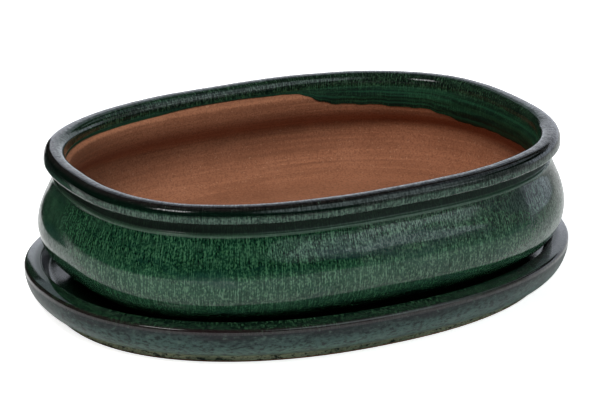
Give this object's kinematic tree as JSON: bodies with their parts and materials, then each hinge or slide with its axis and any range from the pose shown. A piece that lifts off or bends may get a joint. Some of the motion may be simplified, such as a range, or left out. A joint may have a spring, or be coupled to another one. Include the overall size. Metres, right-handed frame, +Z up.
{
  "type": "oval bonsai pot",
  "caption": "Low oval stoneware bonsai pot with a rolled rim, undercut neck and swollen belly, glazed outside and bare inside, standing loose in its glazed drip saucer.",
  "frame": {"origin": "on the ground under the middle of the saucer", "axes": "+X along the oval's long axis, +Z up, the camera side of the picture at -Y"},
  "size_m": [0.3366, 0.2516, 0.0938],
  "materials": {
    "clay": "bare fired clay, matt, with fine wiping marks",
    "pot_glaze": "glossy running glaze, streaked green, breaking to dark brown on edges",
    "saucer_glaze": "glossy green glaze, duller and greyer on the outside wall, dark along the lip's edge"
  },
  "bodies": {
    "saucer": {"saucer_body": "clay", "saucer_glaze": "saucer_glaze"},
    "pot": {"pot_body": "clay", "pot_glaze": "pot_glaze", "foot_back_right": "clay", "foot_back_left": "clay", "foot_front_left": "clay", "foot_front_right": "clay"}
  },
  "joints": [
    {"name": "pot_lift", "type": "slide", "parent": "saucer", "child": "pot", "axis": [0, 0, 1], "range_m": [0, 0.08]}
  ]
}
